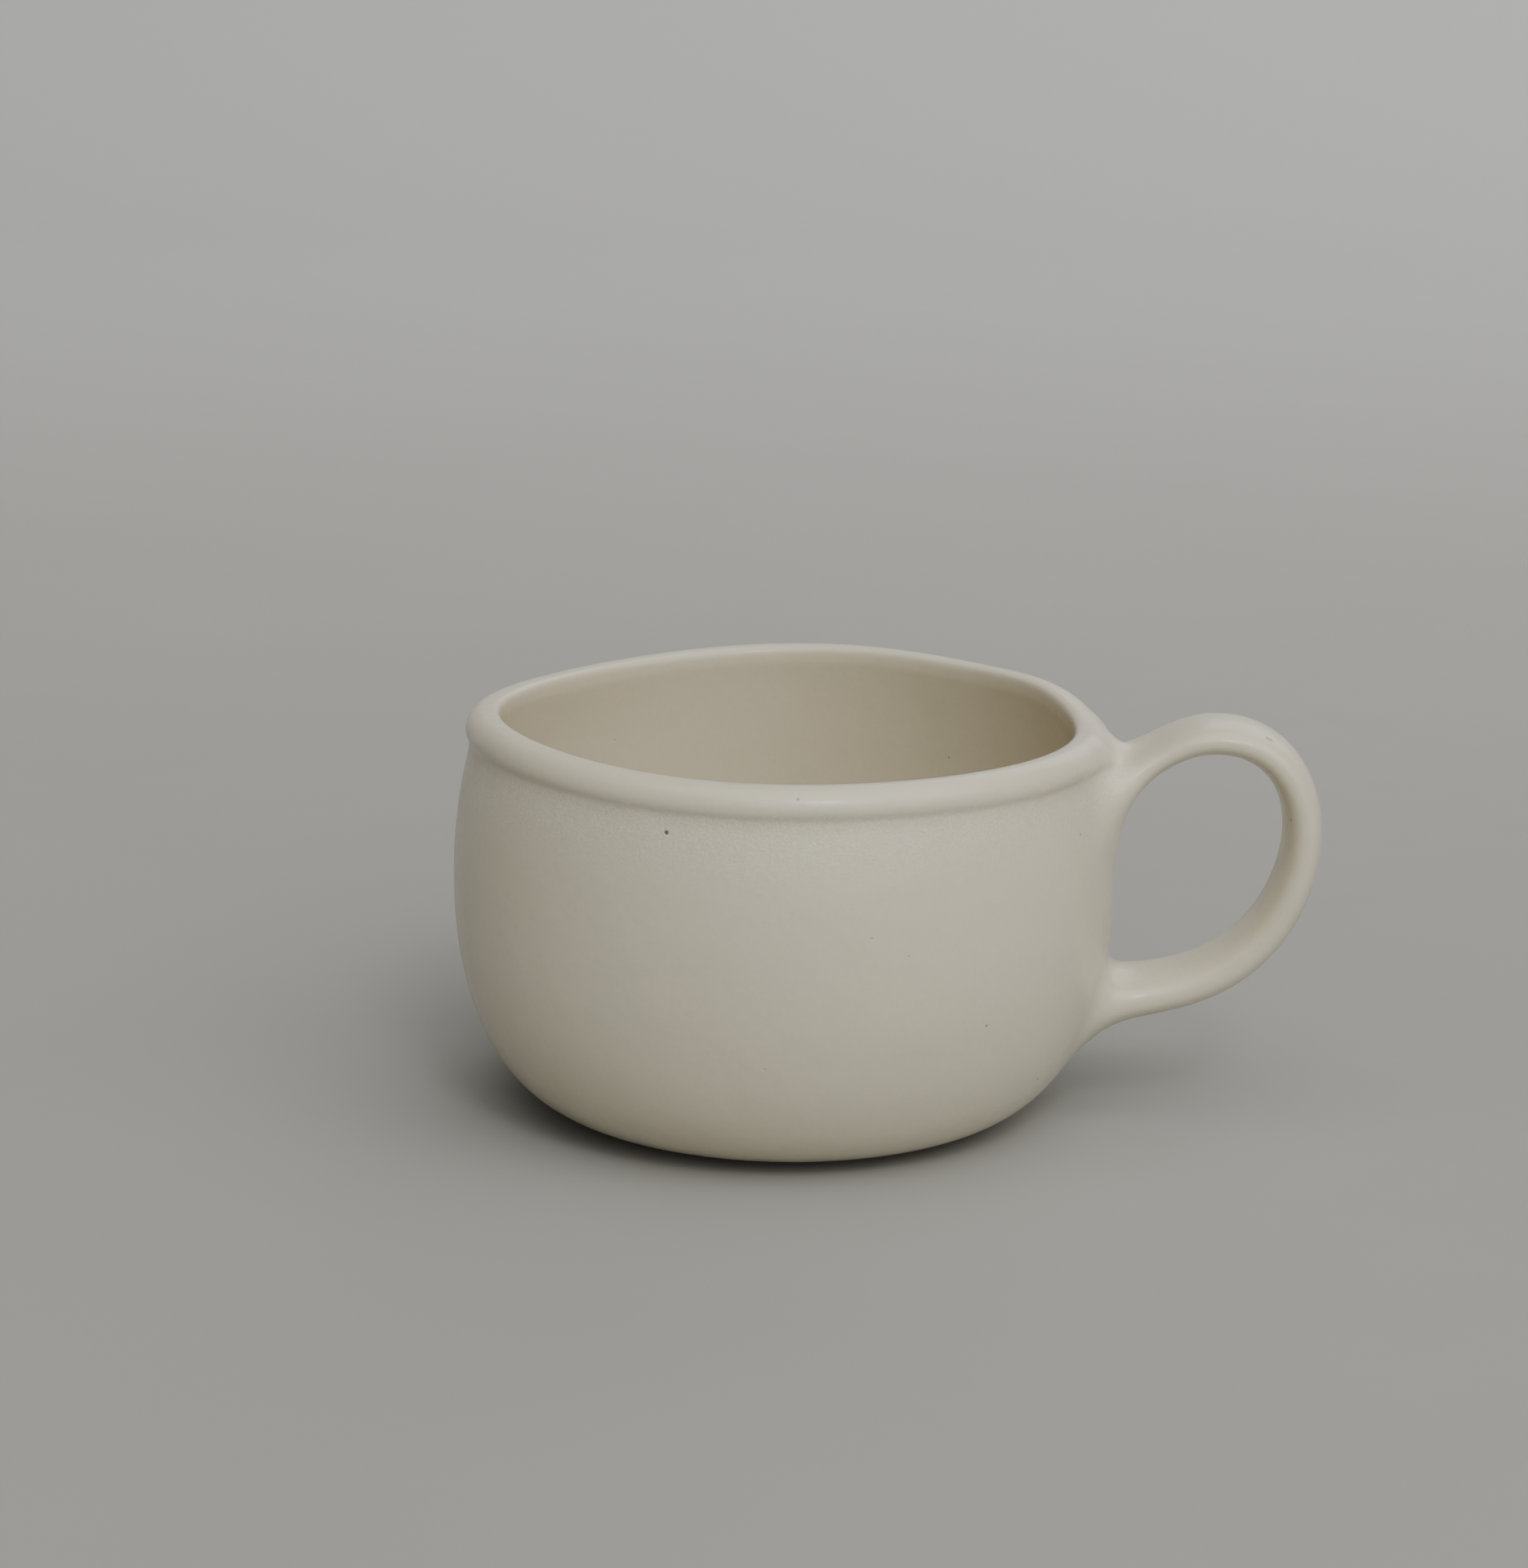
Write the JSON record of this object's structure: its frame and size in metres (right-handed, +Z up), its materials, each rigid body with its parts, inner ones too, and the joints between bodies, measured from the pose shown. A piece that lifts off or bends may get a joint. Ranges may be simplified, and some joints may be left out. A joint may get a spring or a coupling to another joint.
{
  "type": "shaving mug",
  "caption": "Wide, low glazed stoneware shaving mug with a rolled rim, a looped strap handle, a flat floor for soap and a bare clay foot.",
  "frame": {"origin": "centre of the foot ring's underside, on the surface that the mug stands on", "axes": "+Z up through the mouth, +X from the cup's axis towards the handle, +Y across the strap"},
  "size_m": [0.1438, 0.11, 0.0687],
  "materials": {
    "clay": "bare fired stoneware, fine and dry",
    "slip": "fired luting slip, fine and dry",
    "glaze": "satin off-white glaze with sparse iron specks"
  },
  "bodies": {
    "root": {"cup_body": "clay", "rim_roll": "clay", "foot_ring": "clay", "handle": "clay", "upper_luting_joint": "slip", "lower_luting_joint": "slip", "outer_glaze": "glaze", "inner_glaze": "glaze", "handle_glaze": "glaze"}
  },
  "joints": []
}
